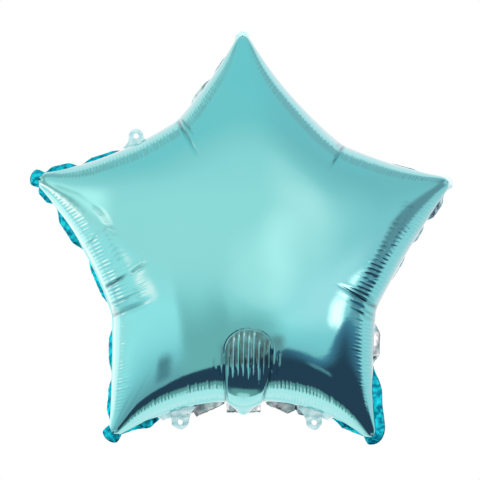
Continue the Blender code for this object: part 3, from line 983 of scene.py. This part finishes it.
def throatDomeParts(tree, place, normal):
    # the dome's normal, where a dull reflection is painted into its colour, and its outline, a
    # groove with painted shade
    dome, look = throatDome, domeFinish
    add, multiply = partial(addNode, tree), partial(product, tree)
    split = add("SeparateXYZ", place).outputs
    sideways = add("Math", split["X"], dome["middle"], operation="SUBTRACT")
    away = add("VectorMath", place, (dome["middle"], 0, dome["start"]), operation="SUBTRACT")
    away = add("VectorMath", away, (-1, 0, 0), operation="MAXIMUM")
    scale = (1 / dome["halfWidth"], 0, 1 / dome["height"])
    away = add("VectorMath", away, scale, operation="MULTIPLY")
    out = add("VectorMath", away, operation="LENGTH")
    onFront = add("Math", split["Y"], 0.0, operation="LESS_THAN")
    inside = add("MapRange", out, *look["edge"], **smooth)
    above = add("MapRange", split["Z"], look["foot"], look["foot"] + dome["pleatFade"], **smooth)
    below = add("MapRange", split["Z"], *look["head"], **smooth)
    reflectionPatches = add("TexNoise", Vector=place, Scale=perMetre(look["reflectionPatch"]), Detail=2.0)
    reflectionPatches = add("Math", reflectionPatches, *look["reflectionPatches"], operation="MULTIPLY_ADD")
    # painted reflection: inside the dome, between foot and head, the colour is dulled in uneven
    # patches
    paintedDomeReflection = multiply(inside, onFront, above, below, look["reflectionStrength"], reflectionPatches)
    # the outline is a groove, and shade is painted along it
    fromLine = add("Math", add("Math", out, 1.0, operation="SUBTRACT"), operation="ABSOLUTE")
    lined = add("MapRange", fromLine, look["line"] / dome["height"], 0.0, **smooth)
    fromFoot = add("MapRange", split["Z"], *look["lineFoot"], **smooth)
    lined = multiply(lined, fromFoot, onFront, look["lineStrength"])
    # the pleats start and end unevenly, and are spared the painted reflection
    pleat = multiply(sideways, 1 / dome["pleatPitch"])
    number = add("Math", pleat, operation="ROUND")
    away = add("Math", add("Math", pleat, number, operation="SUBTRACT"), operation="ABSOLUTE")
    ridge = add("MapRange", away, dome["pleatHalfWidth"] / dome["pleatPitch"], 0.0, **smooth)
    uneven = add("TexWhiteNoise", number, noise_dimensions="1D")
    height = add("Math", uneven, look["pleatStagger"], split["Z"], operation="MULTIPLY_ADD")
    foot = dome["pleatFoot"]
    fromFoot = add("MapRange", height, foot, foot + dome["pleatFade"], **smooth)
    top = add("Math", uneven, look["pleatTopStagger"], out, operation="MULTIPLY_ADD")
    ridge = multiply(ridge, fromFoot, add("MapRange", top, *look["pleatTop"], **smooth), onFront)
    dull = add("Math", ridge, -look["pleatShine"], 1.0, operation="MULTIPLY_ADD")
    relief = add("Math", multiply(ridge, look["pleatRelief"]), lined, operation="SUBTRACT")
    normal = add("Bump", Strength=1.0, Distance=look["line"], Height=relief, Normal=normal)
    return normal, multiply(paintedDomeReflection, dull), lined


# what all the sealed film shares
sealedFinish = {
    "tint": "#93dde3",
    "knurl": 1.5,  # millimetres from one to the next
    "knurlDepth": 0.0005,
    "streaks": (0.36, 0.66),
    "foldDepth": 0.0016,
}


def sealedFilm(name, roughness, dark, light, knurlStrength, fold, foldStrength):
    # film pressed double by a knurled sealing bar, then crumpled by the pull of the filled star
    finish = sealedFinish
    material, add, shader = newMaterial(name)
    tree = material.node_tree
    shader.inputs["Roughness"].default_value = roughness
    shader.inputs["Specular Tint"].default_value = linear(finish["tint"])
    place = add("TexCoord").outputs["Object"]
    knurls = add("TexVoronoi", Vector=place, Scale=perMetre(finish["knurl"]), Randomness=0.7)
    streaks = add("TexNoise", Vector=place, Scale=perMetre(fold), Detail=1.0, Roughness=0.4)
    # painted light: the folds mottle the colour between a dark tone, for painted shade, and a light
    # one, for painted glints
    glintAndShade = add("MapRange", streaks, *finish["streaks"])
    colour = add("Mix", glintAndShade, linear(dark), linear(light), data_type="RGBA")
    tree.links.new(colour.outputs[2], shader.inputs["Base Color"])
    depth = finish["knurlDepth"]
    normal = add("Bump", Strength=knurlStrength, Distance=depth, Height=knurls)
    depth = finish["foldDepth"]
    normal = add("Bump", Strength=foldStrength, Distance=depth, Height=streaks, Normal=normal)
    tree.links.new(normal.outputs["Normal"], shader.inputs["Normal"])
    return material, shader


def heatSealedFilm():
    # the deeper cyan and the glitter are painted: the colour stands for light bouncing between the
    # facets of the doubled film
    dark, light = "#08748f", "#18cfe4"
    material, shader = sealedFilm("heat-sealed polyester film", 0.22, dark, light, 0.17, 4.5, 0.32)
    shader.inputs["Metallic"].default_value = 1.0
    return material


def untintedFilm():
    # the side of the film without lacquer: crumpled plain aluminium, with painted shade and glints
    # in its colour
    dark, light = "#769fa6", "#cff8fb"
    material, shader = sealedFilm("bare metallised film", 0.16, dark, light, 0.03, 9.0, 0.5)
    shader.inputs["Metallic"].default_value = 1.0
    return material


def clearSealedFilm():
    # the tabs lie outside the metal layer: two clear sheets sealed face to face, milky and pale,
    # with faint painted shade and glints in the colour
    dark, light = "#bce6ea", "#e6fafa"
    material, shader = sealedFilm("clear sealed polyester film", 0.18, dark, light, 0.05, 6.0, 0.6)
    shader.inputs["IOR"].default_value = 1.57
    return material


def settle(piece):
    # every piece rides on the one body and stands for the one solid
    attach(piece, "root")
    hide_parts("star_balloon")


print("camera")
# the photograph is taken straight on
cameraPlace = {
    "distance": 0.80,
    "frameWidth": 0.480,  # how much of the seam's plane the frame takes in
    "across": -0.0035,
    "height": 0.1746,
}


def addCamera():
    data = bpy.data.cameras.new("camera")
    data.sensor_width = 36.0
    data.lens = data.sensor_width * cameraPlace["distance"] / cameraPlace["frameWidth"]
    camera = addObject("camera", data)
    camera.location = (cameraPlace["across"], -cameraPlace["distance"], cameraPlace["height"])
    camera.rotation_euler = (math.pi / 2, 0, 0)
    bpy.context.scene.camera = camera


addCamera()

# the studio round the balloon, as the film sees it. Directions are degrees: azimuth 0 is towards
# the camera and grows to the right, elevation 0 is level. Light is red, green and blue
studio = {
    # the light at each elevation, on the left and on the right, and the azimuths between which
    # the one turns into the other
    "leftLevels": (
        (-90, (1.70, 1.07, 1.02)),
        (-84, (1.50, 0.96, 0.90)),
        (-81.5, (0.62, 0.52, 0.47)),
        (-76, (0.50, 0.44, 0.42)),
        (-60, (0.66, 0.52, 0.55)),
        (-46, (0.80, 0.67, 0.69)),
        (-32, (1.15, 0.95, 0.95)),
        (-20, (1.62, 1.18, 1.14)),
        (-6, (1.60, 1.06, 1.00)),
        (16, (1.62, 1.09, 1.02)),
        (30, (1.50, 1.03, 0.99)),
        (42, (1.22, 0.93, 0.90)),
        (54, (0.92, 0.87, 0.86)),
        (66, (0.84, 0.87, 0.88)),
        (90, (0.86, 0.87, 0.88)),
    ),
    "rightLevels": (
        (-90, (1.80, 1.10, 1.04)),
        (-84, (1.60, 1.00, 0.94)),
        (-81.5, (0.62, 0.52, 0.47)),
        (-76, (0.50, 0.44, 0.42)),
        (-50, (0.50, 0.42, 0.44)),
        (-32, (1.00, 0.86, 0.88)),
        (-22, (1.30, 1.02, 1.02)),
        (-8, (1.22, 0.88, 0.90)),
        (6, (1.08, 0.86, 0.88)),
        (20, (0.98, 0.80, 0.82)),
        (34, (0.90, 0.76, 0.77)),
        (48, (0.87, 0.76, 0.77)),
        (60, (0.84, 0.82, 0.84)),
        (72, (0.84, 0.86, 0.88)),
        (90, (0.86, 0.87, 0.88)),
    ),
    "turn": (2, 60),
    "turnBack": (179, 140),
    # patches laid over that: azimuth and half width, elevation and half height, how soft the
    # edges are across and up, how far the azimuth leans for each degree above level, and light
    "patches": (
        # the dimmer end of the room, ahead
        (-15, 10, -38, 10, 5, 24, 0.0, (0.80, 0.66, 0.63)),
        (-2, 4, -38, 10, 17, 24, 0.0, (0.80, 0.66, 0.63)),
        # a bright opening to the right of the camera, and its glow
        (21, 2, 13, 3, 19, 24, 0.0, (2.15, 1.20, 1.14)),
        (10, 0, -2, 2, 13, 15, 0.0, (2.42, 1.33, 1.25)),
        (34, 4, -14, 2, 24, 14, 0.0, (1.95, 1.14, 1.14)),
        (49, 3, -19.5, 2.0, 9, 5, 0.0, (5.20, 2.20, 2.05)),
        # a tall dark door to the right
        (77, 6, 12, 27, 9, 11, 0.6, (0.57, 0.42, 0.47)),
        # a pale wall to the left, with lamps on it
        (-67, 2, 15, 4, 17, 18, 0.0, (2.35, 1.38, 1.28)),
        (-60, 1, 4, 2, 7, 8, 0.0, (3.40, 1.50, 1.38)),
        (-48, 5, -14.5, 0.5, 7, 3.8, 0.0, (3.60, 1.38, 1.28)),
        (-95, 6, -4, 3, 7, 5, 0.0, (4.60, 1.55, 1.45)),
        (-85, 3, 27, 22, 8, 10, -0.35, (0.95, 0.64, 0.60)),
        (-38, 2, -44, 5, 6, 9, 0.0, (0.42, 0.36, 0.39)),
        # the dim far wall, low and dead ahead, which the throat looks into
        (4, 8, -42, 8, 5, 6, 0.0, (0.60, 0.42, 0.43)),
        # behind the balloon, which only the rims see
        (-112, 14, 52, 4, 8, 5, 0.0, (0.88, 0.72, 0.71)),
        (112, 14, 51, 5, 6, 7, 0.0, (0.88, 0.67, 0.69)),
        (-155, 27, 25, 22, 5, 10, 0.0, (1.60, 1.10, 1.07)),
        (155, 27, 25, 22, 5, 10, 0.0, (1.75, 1.12, 1.12)),
        (-130, 14, -11, 10, 12, 8, 0.0, (2.45, 1.42, 1.34)),
        (-172, 12, 22, 20, 12, 12, 0.0, (1.40, 1.09, 1.09)),
        (172, 12, 22, 20, 12, 12, 0.0, (1.40, 1.09, 1.09)),
        (-160, 8, -9, 6, 11, 8, 0.0, (0.75, 1.12, 1.10)),
        (-166, 22, -46, 10, 10, 8, 0.0, (1.20, 1.10, 1.08)),
        (166, 22, -46, 10, 10, 8, 0.0, (1.20, 1.10, 1.08)),
        (-150, 32, -70, 12, 16, 8, 0.0, (2.10, 1.24, 1.18)),
        (150, 32, -70, 12, 16, 8, 0.0, (2.10, 1.24, 1.18)),
    ),
    # the dark floor: its light, and its sheen, which lies within some degrees of the edge on the
    # right. The elevation of the edge on the left, how much it rises between two azimuths, how soft
    # it is, where the floor ends near the balloon, and its middle azimuth and where it fades out
    "floor": (0.095, 0.075, 0.120),
    "floorSheen": (0.300, 0.340, 0.480),
    "sheenReach": (11.0, 0.0),
    "sheenTurn": (0, 34),
    "floorLevel": -59.5,
    "floorRises": ((-42, -6, 8), (4, 17, 14), (30, 66, 19)),
    "floorEdge": (0.0, 2.5),
    "floorEnd": (-77, -73),
    "floorMiddle": 5,
    "floorFade": (96, 84),
    "rugEdge": (36, 6, -45.5, 0.6, 6, 2.0, 0.0, (0.40, 0.36, 0.41)),
    "seenByCamera": "#ffffff",
    "plain": 1.0,  # what everything matt sees
}


def addStudioLight():
    world = bpy.data.worlds.new("studio")
    bpy.context.scene.world = world
    world.use_nodes = True
    tree = world.node_tree
    tree.nodes.clear()
    add, multiply = partial(addNode, tree), partial(product, tree)
    split = add("SeparateXYZ", add("TexCoord").outputs["Generated"]).outputs
    azimuth = add("Math", split["X"], multiply(split["Y"], -1.0), operation="ARCTAN2")
    azimuth = add("Math", azimuth, operation="DEGREES")
    elevation = add("Math", add("Math", split["Z"], operation="ARCSINE"), operation="DEGREES")
    above = add("Math", elevation, 0.0, operation="MAXIMUM")

    def patch(light, across, halfWidth, up, halfHeight, softAcross, softUp, lean, strength):
        # an oblong with soft edges, which come in over 1 from its own edge
        away = add("Math", above, -lean, azimuth, operation="MULTIPLY_ADD")
        away = add("CombineXYZ", away, elevation)
        steps = (
            ("SUBTRACT", (across, up, 0)),
            ("ABSOLUTE",),
            ("SUBTRACT", (halfWidth, halfHeight, 0)),
            ("DIVIDE", (softAcross, softUp, 1)),
            ("MAXIMUM", (0, 0, 0)),
            ("LENGTH",),
        )
        for operation, *values in steps:
            away = add("VectorMath", away, *values, operation=operation)
        share = add("MapRange", away, 1.0, 0.0, **smooth)
        return add("Mix", share, light, (*strength, 1.0), data_type="RGBA")

    bothSides = []
    height = add("MapRange", elevation, -90.0, 90.0)
    for levels in (studio["leftLevels"], studio["rightLevels"]):
        bothSides.append(add("ValToRGB", height))
        stops = bothSides[-1].color_ramp.elements
        while len(stops) < len(levels):
            stops.new(0.5)
        for stop, (level, light) in zip(stops, levels):
            stop.position = (level + 90) / 180
            stop.color = (*light, 1.0)
    turned = [add("MapRange", azimuth, *studio[turn], **smooth) for turn in ("turn", "turnBack")]
    light = add("Mix", multiply(*turned), *bothSides, data_type="RGBA")
    for values in studio["patches"]:
        light = patch(light, *values)

    depth = add("Math", studio["floorLevel"], elevation, operation="SUBTRACT")
    for start, end, rise in studio["floorRises"]:
        rises = add("MapRange", azimuth, start, end, 0.0, rise, **smooth)
        depth = add("Math", depth, rises, operation="ADD")
    sheen = add("MapRange", depth, *studio["sheenReach"], **smooth)
    sheen = multiply(sheen, add("MapRange", azimuth, *studio["sheenTurn"], **smooth))
    floor = [(*studio[kind], 1.0) for kind in ("floor", "floorSheen")]
    floor = add("Mix", sheen, *floor, data_type="RGBA")
    aside = add("Math", azimuth, studio["floorMiddle"], operation="SUBTRACT")
    aside = add("Math", aside, operation="ABSOLUTE")
    shares = []
    for value, limits in ((depth, "floorEdge"), (elevation, "floorEnd"), (aside, "floorFade")):
        shares.append(add("MapRange", value, *studio[limits], **smooth))
    light = add("Mix", multiply(*shares), light, floor, data_type="RGBA")
    light = patch(light, *studio["rugEdge"])

    shown = add("Background", light)
    seen = add("Background", linear(studio["seenByCamera"]))
    plain = add("Background", (1.0, 1.0, 1.0, 1.0), studio["plain"])
    ray = add("LightPath").outputs
    other = add("MixShader", ray["Is Camera Ray"], plain, seen)
    add("OutputWorld", add("MixShader", ray["Is Glossy Ray"], other, shown))


room = {
    "floorSize": 6.0,
    "floorHeight": -1.2,  # well below the balloon, which floats
    "floorColours": ("#eceef0", "#f0f2f4"),
    "floorGrain": 60,  # millimetres
    "lampSize": 3.0,
    "lampPower": 22.0,
    "lampPlace": (0.2, -0.4, 2.4),
}


def addFloor():
    # painted board, matt and pale, so that nothing mirrors in it
    material, add, shader = newMaterial("matt white floor")
    shader.inputs["Roughness"].default_value = 0.9
    place = add("TexCoord").outputs["Object"]
    grain = add("TexNoise", Vector=place, Scale=perMetre(room["floorGrain"]), Detail=2.0)
    colour = add("Mix", grain, *map(linear, room["floorColours"]), data_type="RGBA")
    material.node_tree.links.new(colour.outputs[2], shader.inputs["Base Color"])
    place = (0, 0, room["floorHeight"])
    bpy.ops.mesh.primitive_plane_add(size=room["floorSize"], location=place)
    floor = bpy.context.object
    floor.name = "floor"
    floor.data.materials.append(material)
    floor.visible_glossy = False
    lamp = bpy.data.lights.new("overhead", "AREA")
    lamp.shape = "DISK"
    lamp.size = room["lampSize"]
    lamp.energy = room["lampPower"]
    overhead = addObject("overhead", lamp)
    overhead.location = room["lampPlace"]
    overhead.visible_glossy = False


addStudioLight()
addFloor()
bpy.context.scene.view_settings.view_transform = "Standard"
print("studio set")

filmMaterial = metallisedPolyester()
sealMaterial = heatSealedFilm()
silverMaterial = untintedFilm()
clearMaterial = clearSealedFilm()
print("materials made")

film = soapFilm(fineOutline())
sides = {key: sideColumns(*key) for key in legSides}
body = starFilm(film, sides, filmMaterial)
settle(body)
print("film blown up,", len(body.data.polygons), "faces")

seam = starSeam(sides, (sealMaterial, silverMaterial, clearMaterial))
settle(seam)
print("seam ruffled,", len(seam.data.polygons), "faces")

for name, (tip, mirrored, share, bearing, *shape) in eyeletTabs.items():
    edge = onCurve(legPieces(tip, mirrored)[1][1], np.linspace(0, 1, 41))
    run = arcLength(edge)
    foot = np.array([np.interp(share * run[-1], run, edge[:, axis]) for axis in (0, 1)])
    settle(eyeletTab(name, foot, bearing, *shape, clearMaterial))
print("tabs cut")

settle(fillingTail(film, silverMaterial))
print("tail folded")
